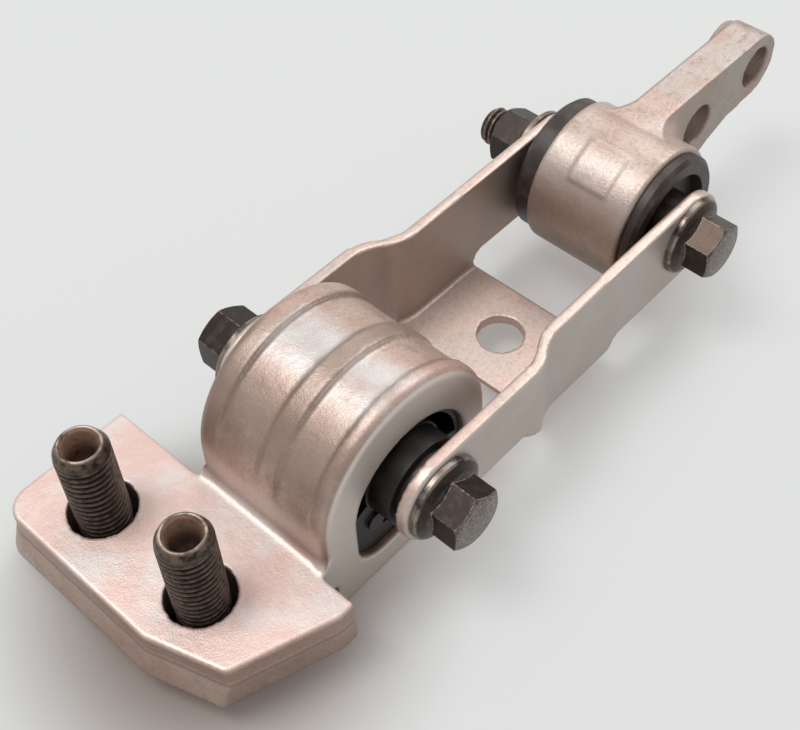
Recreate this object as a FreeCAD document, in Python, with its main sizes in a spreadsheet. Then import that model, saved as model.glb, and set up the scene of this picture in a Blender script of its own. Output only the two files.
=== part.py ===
import FreeCAD, Part
import math
import os
import Sketcher

# Bolt-on torque-rod engine mount: two cast brackets, each with a rubber bush,
# tied together by a stamped U-channel link and two flanged pivot bolts.
# Millimetres, +Z up. The origin is the middle of the pair of mounting studs on
# the machined face of the front bracket. +X runs towards the rear bracket and
# the pivot bolts lie along Y, heads on the -Y side.

os.makedirs("parts", exist_ok=True)
doc = FreeCAD.newDocument("engine_mount")
sheet = doc.addObject("Spreadsheet::Sheet", "Sizes")

SIZES = [
    # layout
    ("pivot_x", 53.3, "stud line to front pivot, along X"),
    ("pivot_y", -14.5, "stud pair middle to link middle plane, along Y"),
    ("pivot_z", 10.0, "machined face to pivot axis, along Z"),
    ("link_length", 111.6, "front pivot to rear pivot"),
    # mounting plate
    ("plate_thick", 15.0, "machined plate thickness"),
    ("plate_ledge", 6.5, "depth of the upright rim above the cast ledge"),
    ("plate_rim_in", 0.3, "step between the upright rim and the ledge"),
    ("plate_spread", 2.4, "how far the ledge stands out at the front and left"),
    ("plate_front", 70.0, "front pivot to front edge"),
    ("plate_gap", 1.7, "housing to the back edge of the plate, bridged by the foot"),
    ("plate_left", 52.8, "middle plane to left edge"),
    ("plate_right", 33.2, "middle plane to right rear corner"),
    ("plate_nose", 23.6, "middle plane to right front corner"),
    ("plate_nose_x", 6.8, "front edge to the right front corner"),
    ("plate_turn_y", 2.0, "middle plane to the end of the front edge"),
    ("plate_slant", 5.0, "back edge to the end of the slanted right side"),
    ("plate_round", 2.5, "radius of the plate corners"),
    ("plate_left_round", 7.0, "radius of the front left corner"),
    ("plate_edge", 0.7, "edge rounding of the machined face"),
    # studs
    ("stud_spacing", 36.4, "stud to stud"),
    ("stud_radius", 7.0, "M14 stud"),
    ("stud_hole_radius", 8.8, "clearance hole in the plate"),
    ("stud_height", 27.0, "stud above the machined face"),
    ("stud_tip_radius", 5.5, "flat rim at the stud tip"),
    ("stud_tip_chamfer", 2.8, "height of the tapered lead"),
    ("stud_recess_radius", 4.6, "recess in the stud tip"),
    ("stud_recess_depth", 9.0, "recess depth"),
    ("stud_head_radius", 12.0, "round stud head below the plate"),
    ("stud_head_thick", 5.0, "stud head thickness"),
    ("head_pocket_radius", 13.5, "counterbore under the plate"),
    ("head_pocket_depth", 2.0, "counterbore depth"),
    # front housing
    ("arch_radius", 29.3, "outside of the bush housing ribs"),
    ("arch_half", 22.0, "half the housing width"),
    ("arch_bottom", 31.5, "pivot axis to housing underside"),
    ("arch_shoulder", 2.6, "rounded edge between housing and its end faces"),
    ("foot_radius", 2.0, "fillet from housing to machined face"),
    ("rib_height", 1.5, "ribs above the bands at the top of the arch"),
    ("rib_left_width", 7.0, "width of the left end rib"),
    ("rib_right_width", 4.9, "width of the right end rib"),
    ("rib_mid_width", 6.0, "width of the middle rib"),
    ("rib_mid_shift", 2.4, "middle rib offset to the right"),
    ("bore_arc", 19.6, "radius of the D-shaped bush bore"),
    ("bore_drop", 4.5, "centre of the bore arc below the pivot"),
    ("bore_shift", 1.3, "centre of the bore arc behind the pivot"),
    ("bore_bottom", 22.5, "pivot axis to the flat of the bore"),
    ("bore_corner", 8.0, "lower corner radius of the bore"),
    ("rear_foot", 4.5, "base lip behind the housing"),
    ("rear_foot_high", 7.0, "height of the base lip"),
    # front bush
    ("bush_half", 20.0, "half the length of the front rubber block"),
    ("hub_radius", 12.5, "rubber hub round the sleeve"),
    ("hub_half", 27.0, "half the length of the rubber hub"),
    ("void_gap", 3.6, "width of the void over the hub"),
    ("void_skin", 1.6, "rubber left against the bore"),
    ("stop_radius", 2.8, "rubber stop buttons in the front"),
    ("front_sleeve_radius", 10.0, "outside of the front inner sleeve"),
    ("sleeve_bore", 6.25, "bore radius of both inner sleeves"),
    # link
    ("sheet", 3.4, "link sheet thickness"),
    ("front_half", 32.7, "half width over the cheeks at the front bush"),
    ("rear_half", 26.9, "half width over the cheeks at the rear bush"),
    ("joggle_start", 34.0, "front pivot to the start of the joggle"),
    ("joggle_end", 53.0, "front pivot to the end of the joggle"),
    ("bend_radius", 5.2, "outside bend radius of the channel"),
    ("front_end_radius", 13.0, "rounded cheek end at the front"),
    ("rear_end_radius", 14.0, "rounded cheek end at the rear"),
    ("rear_end_drop", 1.8, "centre of the rear end below the pivot"),
    ("neck_bottom", 9.6, "pivot axis to the lower edge at the front"),
    ("web_top", 20.2, "pivot axis to the upper face of the web"),
    ("web_front", 46.5, "front pivot to the front edge of the web"),
    ("web_back", 77.6, "front pivot to the back edge of the web"),
    ("web_corner", 4.0, "corner radius behind the web"),
    ("web_hole_x", 61.9, "front pivot to the web hole"),
    ("web_hole_radius", 6.75, "web hole"),
    # rear bracket
    ("barrel_radius", 22.0, "outside of the rear barrel"),
    ("barrel_half", 15.6, "half the barrel length"),
    ("barrel_shift", 1.25, "barrel offset to the right"),
    ("barrel_bore", 17.6, "bore radius of the barrel"),
    ("arm_half", 5.9, "half the arm thickness"),
    ("arm_top", 20.8, "pivot axis to the top of the arm"),
    ("arm_end_radius", 10.6, "rounded arm end"),
    ("arm_hole_radius", 6.6, "holes in the arm"),
    ("arm_hole_near", 33.4, "rear pivot to the near hole, along X"),
    ("arm_near_rise", 6.5, "near hole above the pivot"),
    ("arm_hole_far", 63.9, "rear pivot to the far hole, along X"),
    ("arm_far_rise", 10.0, "far hole above the pivot"),
    ("boss_radius", 9.6, "bosses round the arm holes"),
    ("boss_height", 2.2, "boss height on the left face"),
    ("arm_root", 5.0, "fillet where the arm joins the barrel"),
    ("barrel_edge", 0.8, "edge rounding of the barrel"),
    ("pad_height", 0.4, "raised cast pad on the barrel"),
    # rear bush
    ("ring_radius", 20.5, "rubber end rings"),
    ("ring_half", 20.6, "half the length over the end rings"),
    ("ring_inner", 15.6, "inside of the end rings"),
    ("ring_recess", 3.6, "depth inside the end rings"),
    ("rear_sleeve_radius", 9.5, "outside of the rear inner sleeve"),
    # pivot bolts and nuts
    ("bolt_radius", 6.0, "M12 pivot bolts"),
    ("bolt_flange_radius", 11.8, "bolt head flange"),
    ("bolt_flange_thick", 1.8, "rim of the flange"),
    ("bolt_head_height", 11.4, "head with its flange"),
    ("bolt_flats", 15.2, "across flats of the heads"),
    ("nut_flats", 16.0, "across flats of the nuts"),
    ("nut_flange_radius", 12.4, "nut flange"),
    ("nut_height", 13.0, "nut with its flange"),
    ("nut_bore_play", 0.0, "nut bore over the bolt radius"),
    ("front_tail", 1.8, "front bolt end past its nut"),
    ("rear_tail", 6.1, "rear bolt end past its nut"),
]
for row, (name, value, note) in enumerate(SIZES, 1):
    sheet.set("A%d" % row, name)
    sheet.set("B%d" % row, str(value))
    sheet.set("C%d" % row, note)
    sheet.setAlias("B%d" % row, name)
doc.recompute()


class Size:
    """A number together with the spreadsheet expression that gives it."""

    def __init__(self, text, value):
        self.text = text
        self.value = float(value)

    @staticmethod
    def of(x):
        if isinstance(x, Size):
            return x
        return Size("(%r)" % float(x), x)

    def _mix(self, other, sign, f):
        other = Size.of(other)
        return Size("(%s %s %s)" % (self.text, sign, other.text), f(self.value, other.value))

    def __add__(self, o):
        return self._mix(o, "+", lambda a, b: a + b)

    def __radd__(self, o):
        return Size.of(o) + self

    def __sub__(self, o):
        return self._mix(o, "-", lambda a, b: a - b)

    def __rsub__(self, o):
        return Size.of(o) - self

    def __mul__(self, o):
        return self._mix(o, "*", lambda a, b: a * b)

    def __rmul__(self, o):
        return Size.of(o) * self

    def __truediv__(self, o):
        return self._mix(o, "/", lambda a, b: a / b)

    def __neg__(self):
        return Size.of(0) - self


def root(a):
    a = Size.of(a)
    return Size("sqrt(%s)" % a.text, math.sqrt(a.value))


P = {name: Size("Sizes.%s" % name, value) for name, value, note in SIZES}



def new_body(name, x=0.0, y=0.0, z=0.0):
    body = doc.addObject("PartDesign::Body", name)
    body.Label = name
    for axis, v in zip("xyz", (x, y, z)):
        v = Size.of(v)
        if v.text != "(0.0)":
            body.setExpression("Placement.Base." + axis, v.text)
    return body


def plane(body, role):
    for f in body.Origin.OriginFeatures:
        if f.Role == role:
            return f


def new_sketch(body, role, name, offset=None):
    sk = body.newObject("Sketcher::SketchObject", name)
    sk.AttachmentSupport = [(plane(body, role), "")]
    sk.MapMode = "FlatFace"
    if offset is not None:
        offset = Size.of(offset)
        sk.AttachmentOffset = FreeCAD.Placement(FreeCAD.Vector(0, 0, offset.value), FreeCAD.Rotation())
        sk.setExpression("AttachmentOffset.Base.z", offset.text)
    return sk


def pin(sk, kind, geo, pos, value):
    """Fix one coordinate of a point to an expression."""
    value = Size.of(value)
    k = sk.addConstraint(Sketcher.Constraint(kind, -1, 1, geo, pos, value.value))
    sk.setExpression("Constraints[%d]" % k, value.text)


def outline(sk, points):
    """Closed outline. Each point is (x, y), the end of a straight side that
    starts at the point before it, or (x, y, r, turn): the end of an arc of
    radius r that turns left (+1) or right (-1), always the short way round."""
    n = len(points)
    xy = [(Size.of(p[0]), Size.of(p[1])) for p in points]
    starts, ends = [], []
    for i, p in enumerate(points):
        a = FreeCAD.Vector(xy[i - 1][0].value, xy[i - 1][1].value, 0)
        b = FreeCAD.Vector(xy[i][0].value, xy[i][1].value, 0)
        if len(p) == 2:
            g = sk.addGeometry(Part.LineSegment(a, b), False)
            starts.append((g, 1))
            ends.append((g, 2))
            continue
        r, turn = Size.of(p[2]), p[3]
        chord = b - a
        half = chord.Length / 2.0
        rise = math.sqrt(max(r.value ** 2 - half ** 2, 0.0))
        left = FreeCAD.Vector(-chord.y, chord.x, 0)
        left.normalize()
        c = (a + b) * 0.5 + left * (rise * turn)
        first, last = (a, b) if turn > 0 else (b, a)
        a0 = math.atan2(first.y - c.y, first.x - c.x)
        a1 = math.atan2(last.y - c.y, last.x - c.x)
        while a1 <= a0:
            a1 += 2 * math.pi
        circle = Part.Circle(c, FreeCAD.Vector(0, 0, 1), r.value)
        g = sk.addGeometry(Part.ArcOfCircle(circle, a0, a1), False)
        k = sk.addConstraint(Sketcher.Constraint("Radius", g, r.value))
        sk.setExpression("Constraints[%d]" % k, r.text)
        starts.append((g, 1 if turn > 0 else 2))
        ends.append((g, 2 if turn > 0 else 1))
    for i in range(n):
        g, pos = ends[i]
        h, hpos = starts[(i + 1) % n]
        sk.addConstraint(Sketcher.Constraint("Coincident", g, pos, h, hpos))
        pin(sk, "DistanceX", g, pos, xy[i][0])
        pin(sk, "DistanceY", g, pos, xy[i][1])
    return sk


def circle(sk, x, y, r):
    x, y, r = Size.of(x), Size.of(y), Size.of(r)
    shape = Part.Circle(FreeCAD.Vector(x.value, y.value, 0), FreeCAD.Vector(0, 0, 1), r.value)
    g = sk.addGeometry(shape, False)
    pin(sk, "DistanceX", g, 3, x)
    pin(sk, "DistanceY", g, 3, y)
    k = sk.addConstraint(Sketcher.Constraint("Radius", g, r.value))
    sk.setExpression("Constraints[%d]" % k, r.text)
    return sk


def pad(body, name, sk, length, mid=False, rev=False):
    f = body.newObject("PartDesign::Pad", name)
    f.Profile = sk
    length = Size.of(length)
    f.Length = length.value
    f.setExpression("Length", length.text)
    f.Midplane = mid
    f.Reversed = rev
    sk.Visibility = False
    return f


def pocket(body, name, sk, length, mid=False, rev=False):
    f = body.newObject("PartDesign::Pocket", name)
    f.Profile = sk
    length = Size.of(length)
    f.Length = length.value
    f.setExpression("Length", length.text)
    f.Midplane = mid
    f.Reversed = rev
    sk.Visibility = False
    return f


def spin(body, name, sk, cut=False):
    kind = "PartDesign::Groove" if cut else "PartDesign::Revolution"
    f = body.newObject(kind, name)
    f.Profile = sk
    f.ReferenceAxis = (sk, ["V_Axis"])
    f.Angle = 360.0
    sk.Visibility = False
    return f


def fillet(body, name, base, edges, radius):
    f = body.newObject("PartDesign::Fillet", name)
    f.Base = (base, edges)
    radius = Size.of(radius)
    f.Radius = radius.value
    f.setExpression("Radius", radius.text)
    return f


def edges_where(shape, test):
    return ["Edge%d" % (i + 1) for i, e in enumerate(shape.Edges) if test(e)]


def hexagon(sk, flats):
    """Regular hexagon about the sketch origin with a corner at the top."""
    k = 1.0 / math.sqrt(3.0)
    flats = Size.of(flats)
    h = flats * 0.5
    pts = [(0, flats * k), (-h, flats * (k / 2)), (-h, flats * (-k / 2)),
           (0, flats * (-k)), (h, flats * (-k / 2)), (h, flats * (k / 2))]
    return outline(sk, pts)


# ---------------------------------------------------------------- front bracket
def front_bracket():
    b = new_body("front_bracket", P["pivot_x"], P["pivot_y"], P["pivot_z"])
    top = -P["pivot_z"]
    low = top - P["plate_thick"]
    # bush housing: half-round arch on straight sides, its long edges rounded
    r, f = P["arch_radius"], P["foot_radius"]
    bottom = -P["arch_bottom"]
    wall = P["arch_half"] * 2
    sk = outline(new_sketch(b, "XZ_Plane", "arch_side"), [
        (r, 0), (0, r, r, 1), (-r, 0, r, 1), (-r, bottom), (r, bottom)])
    housing = pad(b, "housing", sk, wall, mid=True)
    doc.recompute()
    shoulders = edges_where(housing.Shape, lambda e: e.BoundBox.YLength < 0.01
                            and e.BoundBox.ZMax > bottom.value + 1.0)
    fillet(b, "shoulders", housing, shoulders, P["arch_shoulder"])
    # two bands between three ribs: the same arch set lower, so the bands fade out at the sides
    drop = P["rib_height"]
    big = r + 12.0
    ends = P["arch_half"]
    mid_left = -P["rib_mid_shift"] + P["rib_mid_width"] / 2
    mid_right = -P["rib_mid_shift"] - P["rib_mid_width"] / 2
    for name, y0, y1 in (("band_left", mid_left, ends - P["rib_left_width"]),
                         ("band_right", -ends + P["rib_right_width"], mid_right)):
        sk = outline(new_sketch(b, "XZ_Plane", name + "_side", -(y0 + y1) / 2), [
            (r, -drop), (0, r - drop, r, 1), (-r, -drop, r, 1), (-big, -drop), (-big, big), (big, big),
            (big, -drop)])
        pocket(b, name, sk, y1 - y0, mid=True)
    # base lip behind the housing
    high = bottom + P["rear_foot_high"]
    sk = outline(new_sketch(b, "XZ_Plane", "lip_side"), [
        (r - 2.0, high), (r - 2.0, bottom), (r + P["rear_foot"], bottom), (r + P["rear_foot"], high - 3.0),
        (r + P["rear_foot"] - 3.0, high, 3.0, 1)])
    pad(b, "base_lip", sk, wall, mid=True)
    # foot: joins the back of the plate to the housing, with a fillet on top
    sk = outline(new_sketch(b, "XZ_Plane", "foot_side"), [
        (-r, top + f), (-r - f, top, f, -1), (-r - f, low), (-r + 3.0, low), (-r + 3.0, top + f)])
    pad(b, "foot", sk, wall - P["arch_shoulder"], mid=True)
    # plate, lower half: a cast ledge that spreads towards the bottom
    front, back = -P["plate_front"], -(P["arch_radius"] + P["plate_gap"])
    left, right, nose = P["plate_left"], -P["plate_right"], -P["plate_nose"]
    rim_low = top - P["plate_ledge"]

    def plate_outline(name, z, g):
        turn = P["plate_left_round"]
        return outline(new_sketch(b, "XY_Plane", name, z), [
            (back, left - g), (front + g + turn, left - g), (front + g, left - g - turn, turn, 1),
            (front + g, -P["plate_turn_y"]), (front + P["plate_nose_x"] + g / 2, nose + g),
            (back - P["plate_slant"], right + g), (back, right + g)])

    def round_corners(name, base, z_from, z_to):
        """Rounds the sharp upright corners of the plate between two heights."""
        def sharp(e):
            p, q = e.Vertexes[0].Point, e.Vertexes[-1].Point
            return (abs(p.z - q.z) > 1.0 and max(p.x, q.x) < back.value - 0.3 and max(p.y, q.y) < 0.0
                    and min(p.z, q.z) > z_to.value - 0.1 and max(p.z, q.z) < z_from.value + 0.1)
        doc.recompute()
        return fillet(b, name, base, edges_where(base.Shape, sharp), P["plate_round"])
    depth = P["plate_thick"] - P["plate_ledge"]
    ledge = pad(b, "ledge", plate_outline("ledge_plan", rim_low, 0.0), depth, rev=True)
    spread = Size("atan(%s / %s)" % (P["plate_spread"].text, depth.text), math.degrees(
        math.atan(P["plate_spread"].value / depth.value)))
    ledge.TaperAngle = spread.value
    ledge.setExpression("TaperAngle", spread.text)
    round_corners("ledge_corners", ledge, rim_low, low)
    # the ledge doesn't spread at the right, nor at the back
    far = P["plate_spread"] + 6.0
    nose_x = front + P["plate_nose_x"]
    lean = (nose - right) / (back - P["plate_slant"] - nose_x)
    sk = outline(new_sketch(b, "XY_Plane", "ledge_trim_plan", low - 1.0), [
        (back, left + far), (back, right), (back - P["plate_slant"], right),
        (nose_x - far, nose + lean * far), (nose_x - far, right - far),
        (back + far / 2, right - far), (back + far / 2, left + far)])
    pocket(b, "ledge_trim", sk, depth + 0.9, rev=True)
    # plate, upper half: upright rim up to the machined face
    rim = pad(b, "rim", plate_outline("rim_plan", rim_low - 1.0, P["plate_rim_in"]), P["plate_ledge"] + 1.0)
    soft = round_corners("rim_corners", rim, top, rim_low - 1.0)
    doc.recompute()
    rim = edges_where(soft.Shape, lambda e: all(abs(v.Z - top.value) < 0.01 for v in e.Vertexes)
                      and min(v.X for v in e.Vertexes) < back.value - 0.5)
    fillet(b, "rim_edge", soft, rim, P["plate_edge"])
    # D-shaped bore for the bush
    pocket(b, "bush_bore", bore_outline(new_sketch(b, "XZ_Plane", "bore_side")), wall + 10.0, mid=True)
    # stud holes with their head pockets
    mid_y = -P["pivot_y"]
    half = P["stud_spacing"] / 2
    sk = new_sketch(b, "XY_Plane", "stud_holes_plan", top)
    circle(sk, -P["pivot_x"], mid_y + half, P["stud_hole_radius"])
    circle(sk, -P["pivot_x"], mid_y - half, P["stud_hole_radius"])
    pocket(b, "stud_holes", sk, P["plate_thick"] + 1.0)
    sk = new_sketch(b, "XY_Plane", "head_pockets_plan", low)
    circle(sk, -P["pivot_x"], mid_y + half, P["head_pocket_radius"])
    circle(sk, -P["pivot_x"], mid_y - half, P["head_pocket_radius"])
    pocket(b, "head_pockets", sk, P["head_pocket_depth"], rev=True)
    return b


def bore_outline(sk):
    """The D shape that the housing bore and the rubber block share."""
    cx, cz, ra = P["bore_shift"], -P["bore_drop"], P["bore_arc"]
    flat, c = -P["bore_bottom"], P["bore_corner"]
    return outline(sk, [
        (cx + ra, cz), (cx, cz + ra, ra, 1), (cx - ra, cz, ra, 1),
        (cx - ra, flat + c), (cx - ra + c, flat, c, 1), (cx + ra - c, flat), (cx + ra, flat + c, c, 1)])


# ---------------------------------------------------------------- studs
def stud(name, side):
    b = new_body(name, 0.0, P["stud_spacing"] / 2 * side, 0.0)
    seat = -P["plate_thick"] + P["head_pocket_depth"]
    r, h = P["stud_radius"], P["stud_height"]
    hr, ht = P["stud_head_radius"], P["stud_head_thick"]
    sk = outline(new_sketch(b, "XZ_Plane", "stud_side"), [
        (0, h - P["stud_recess_depth"] - 2.2), (0, seat - ht), (hr - 1.0, seat - ht),
        (hr, seat - ht + 1.0), (hr, seat), (r, seat), (r, h - P["stud_tip_chamfer"]),
        (P["stud_tip_radius"], h), (P["stud_recess_radius"] + 0.5, h),
        (P["stud_recess_radius"], h - 0.8), (P["stud_recess_radius"] - 0.7, h - P["stud_recess_depth"])])
    spin(b, "stud", sk)
    return b


# ---------------------------------------------------------------- front bush
def front_bush():
    b = new_body("front_bush_rubber", P["pivot_x"], P["pivot_y"], P["pivot_z"])
    block = P["bush_half"] * 2
    pad(b, "block", bore_outline(new_sketch(b, "XZ_Plane", "block_side")), block, mid=True)
    # one void over the hub, as wide as the hub and ending above its two legs
    cx, cz = P["bore_shift"], -P["bore_drop"]
    ro = P["bore_arc"] - P["void_skin"]
    hub, gap = P["hub_radius"], P["void_gap"]
    ri = hub + 0.6
    s, k = math.sin(math.radians(12)), math.cos(math.radians(12))
    sk = outline(new_sketch(b, "XZ_Plane", "void_side"), [
        (cx + ro, cz), (cx, cz + ro, ro, 1), (cx - ro, cz, ro, 1),
        (-ri * k, -ri * s), (0, ri, ri, -1), (ri * k, -ri * s, ri, -1)])
    pocket(b, "upper_void", sk, block + 4.0, mid=True)
    # flat void under the hub
    sk = outline(new_sketch(b, "XZ_Plane", "lower_void_side"), [
        (7.0, -hub - gap), (-7.0, -hub - gap), (-7.0 - gap / 2, -hub - gap / 2, gap / 2, -1),
        (-7.0, -hub - 0.0, gap / 2, -1), (7.0, -hub - 0.0), (7.0 + gap / 2, -hub - gap / 2, gap / 2, -1),
        (7.0, -hub - gap, gap / 2, -1)][1:])
    pocket(b, "lower_void", sk, block + 4.0, mid=True)
    sk = circle(new_sketch(b, "XZ_Plane", "hub_side"), 0, 0, hub)
    pad(b, "hub", sk, P["hub_half"] * 2, mid=True)
    # stop buttons on the two legs, proud of the block at both ends
    sk = new_sketch(b, "XZ_Plane", "stops_side")
    circle(sk, -hub * 0.86, -hub * 0.86, P["stop_radius"])
    circle(sk, hub * 0.94, -hub * 0.86, P["stop_radius"])
    pad(b, "stops", sk, block + 2.0, mid=True)
    sk = circle(new_sketch(b, "XZ_Plane", "sleeve_hole_side"), 0, 0, P["front_sleeve_radius"])
    pocket(b, "sleeve_hole", sk, P["hub_half"] * 2 + 4.0, mid=True)
    return b


def tube(name, x, outer, inner, half):
    b = new_body(name, x, P["pivot_y"], P["pivot_z"])
    sk = new_sketch(b, "XZ_Plane", "tube_side")
    circle(sk, 0, 0, outer)
    circle(sk, 0, 0, inner)
    pad(b, "tube", sk, half * 2, mid=True)
    return b


# ---------------------------------------------------------------- link
def link():
    b = new_body("link_channel", P["pivot_x"], P["pivot_y"], P["pivot_z"])
    t = P["sheet"]
    web_low = -P["web_top"] - t
    tall = P["web_top"] + t + 26.0
    x0, x1 = -P["front_end_radius"] - 6.0, P["link_length"] + P["rear_end_radius"] + 8.0
    xa, xb = P["joggle_start"], P["joggle_end"]
    step = P["front_half"] - P["rear_half"]
    run = xb - xa
    # both arcs of the joggle share one radius, tangent at its middle
    rad = (run * run + step * step) / (step * 4)

    def plan(sk, g, ra, rb):
        wf, wr = P["front_half"] - g, P["rear_half"] - g
        xm, wm = (xa + xb) / 2, (wf + wr) / 2
        return outline(sk, [
            (x0, -wf), (xa, -wf), (xm, -wm, ra, 1), (xb, -wr, rb, -1), (x1, -wr),
            (x1, wr), (xb, wr), (xm, wm, rb, -1), (xa, wf, ra, 1), (x0, wf)])
    sk = plan(new_sketch(b, "XY_Plane", "outside_plan", web_low), Size.of(0.0), rad, rad)
    blank = pad(b, "blank", sk, tall)
    doc.recompute()

    def low_face(shape):
        z = min(f.BoundBox.ZMin for f in shape.Faces)
        return ["Face%d" % (i + 1) for i, f in enumerate(shape.Faces) if f.BoundBox.ZMax < z + 0.01]
    fillet(b, "outer_bend", blank, low_face(blank.Shape), P["bend_radius"])
    doc.recompute()
    sk = plan(new_sketch(b, "XY_Plane", "inside_plan", web_low + t), t, rad, rad)
    hollow = pocket(b, "hollow", sk, tall, rev=True)
    # the side view of the finished link; everything outside it is cut away
    fr, rr, drop = P["front_end_radius"], P["rear_end_radius"], P["rear_end_drop"]
    ll, nb = P["link_length"], -P["neck_bottom"]
    wf, wb, wc = P["web_front"], P["web_back"], P["web_corner"]
    low = -drop - rr
    nx = root(fr * fr - P["neck_bottom"] * P["neck_bottom"])
    big_top, big_low = tall + web_low + 4.0, web_low - 4.0
    side = new_sketch(b, "XZ_Plane", "side_view")
    outline(side, [
        (0, fr), (-fr, 0, fr, 1), (nx, nb, fr, 1), (wf - 15.0, nb),
        (wf - 3.5, -P["web_top"] + 1.0), (wf, -P["web_top"] - 0.6), (wf, web_low), (wb, web_low),
        (wb, low - wc), (wb + wc, low, wc, -1), (ll, low), (ll + rr, -drop, rr, 1),
        (ll, rr - drop, rr, 1), (xb, rr - drop - 0.9), (xa, fr)])
    outline(side, [(x0 - 9.0, big_low), (x1 + 9.0, big_low), (x1 + 9.0, big_top), (x0 - 9.0, big_top)])
    pocket(b, "trim", side, P["front_half"] * 2 + 20.0, mid=True)
    # pivot holes and the web hole
    sk = new_sketch(b, "XZ_Plane", "pivot_holes_side")
    circle(sk, 0, 0, P["bolt_radius"])
    circle(sk, ll, 0, P["bolt_radius"])
    pocket(b, "pivot_holes", sk, P["front_half"] * 2 + 20.0, mid=True)
    sk = circle(new_sketch(b, "XY_Plane", "web_hole_plan", web_low - 1.0), P["web_hole_x"], 0,
                P["web_hole_radius"])
    pocket(b, "web_hole", sk, t + 2.0, rev=True)
    return b


# ---------------------------------------------------------------- rear bracket
def rear_bracket():
    b = new_body("rear_bracket", P["pivot_x"] + P["link_length"], P["pivot_y"], P["pivot_z"])
    br, shift = P["barrel_radius"], P["barrel_shift"]
    sk = circle(new_sketch(b, "XZ_Plane", "barrel_side", shift), 0, 0, br)
    pad(b, "barrel", sk, P["barrel_half"] * 2, mid=True)
    # upright arm with a rounded end
    hx, hz, er = P["arm_hole_far"], P["arm_far_rise"], P["arm_end_radius"]
    nx, nz = P["arm_hole_near"], P["arm_near_rise"]
    top = P["arm_top"]
    sk = outline(new_sketch(b, "XZ_Plane", "arm_side"), [
        (6.0, top), (6.0, 0.0), (10.0, -br * 0.72), (nx - 8.0, -13.0 + 0.0), (nx + 7.0, nz - 11.4),
        (nx + 17.0, nz - 8.0), (hx, hz - er), (hx + er, hz, er, 1), (hx, hz + er, er, 1),
        (nx, top)])
    arm = pad(b, "arm", sk, P["arm_half"] * 2, mid=True)
    doc.recompute()
    root_edges = edges_where(arm.Shape, lambda e: e.BoundBox.YLength < 0.01
                             and abs(abs(e.BoundBox.YMin) - P["arm_half"].value) < 0.01
                             and all(abs(math.hypot(v.X, v.Z) - br.value) < 0.05 for v in e.Vertexes))
    fillet(b, "arm_root", arm, root_edges, P["arm_root"])
    # low bosses on the left face
    sk = new_sketch(b, "XZ_Plane", "bosses_side", -P["arm_half"] + 1.0)
    circle(sk, hx, hz, P["boss_radius"])
    circle(sk, nx, nz, P["boss_radius"])
    pad(b, "bosses", sk, P["boss_height"] + 1.0, rev=True)
    # raised pad on the upper front of the barrel
    ph = br + P["pad_height"]
    a0, a1 = math.radians(140), math.radians(105)
    sk = outline(new_sketch(b, "XZ_Plane", "pad_side", 1.9), [
        (ph * math.cos(a0), ph * math.sin(a0)), ((br - 1.0) * math.cos(a0), (br - 1.0) * math.sin(a0)),
        ((br - 1.0) * math.cos(a1), (br - 1.0) * math.sin(a1), br - 1.0, -1),
        (ph * math.cos(a1), ph * math.sin(a1)),
        (ph * math.cos(a0), ph * math.sin(a0), ph, 1)][1:])
    pad(b, "cast_pad", sk, 12.6, mid=True)
    sk = circle(new_sketch(b, "XZ_Plane", "barrel_bore_side"), 0, 0, P["barrel_bore"])
    hole = pocket(b, "barrel_hole", sk, P["barrel_half"] * 2 + 20.0, mid=True)
    doc.recompute()
    y_ends = [-shift.value - P["barrel_half"].value, -shift.value + P["barrel_half"].value]
    ends = edges_where(hole.Shape, lambda e: e.BoundBox.YLength < 0.01
                       and min(abs(e.BoundBox.YMin - y) for y in y_ends) < 0.01
                       and all(abs(math.hypot(v.X, v.Z) - br.value) < 0.05 for v in e.Vertexes))
    fillet(b, "barrel_ends", hole, ends, P["barrel_edge"])
    sk = new_sketch(b, "XZ_Plane", "arm_holes_side")
    circle(sk, hx, hz, P["arm_hole_radius"])
    circle(sk, nx, nz, P["arm_hole_radius"])
    pocket(b, "arm_holes", sk, P["arm_half"] * 2 + 20.0, mid=True)
    return b


def rear_bush():
    b = new_body("rear_bush_rubber", P["pivot_x"] + P["link_length"], P["pivot_y"], P["pivot_z"])
    out, inn = P["ring_radius"], P["ring_inner"]
    end, rec = P["ring_half"], P["ring_half"] - P["ring_recess"]
    a, c = P["barrel_half"] - P["barrel_shift"], P["barrel_half"] + P["barrel_shift"]
    sl, bo = P["rear_sleeve_radius"], P["barrel_bore"]
    sk = outline(new_sketch(b, "XY_Plane", "bush_half_section"), [
        (sl, -rec), (inn - 1.0, -rec), (inn, -end), (out - 1.2, -end), (out, -end + 1.2), (out, -c),
        (bo, -c), (bo, a), (out, a), (out, end - 1.2), (out - 1.2, end), (inn, end),
        (inn - 1.0, rec), (sl, rec)])
    spin(b, "bush", sk)
    return b


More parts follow.
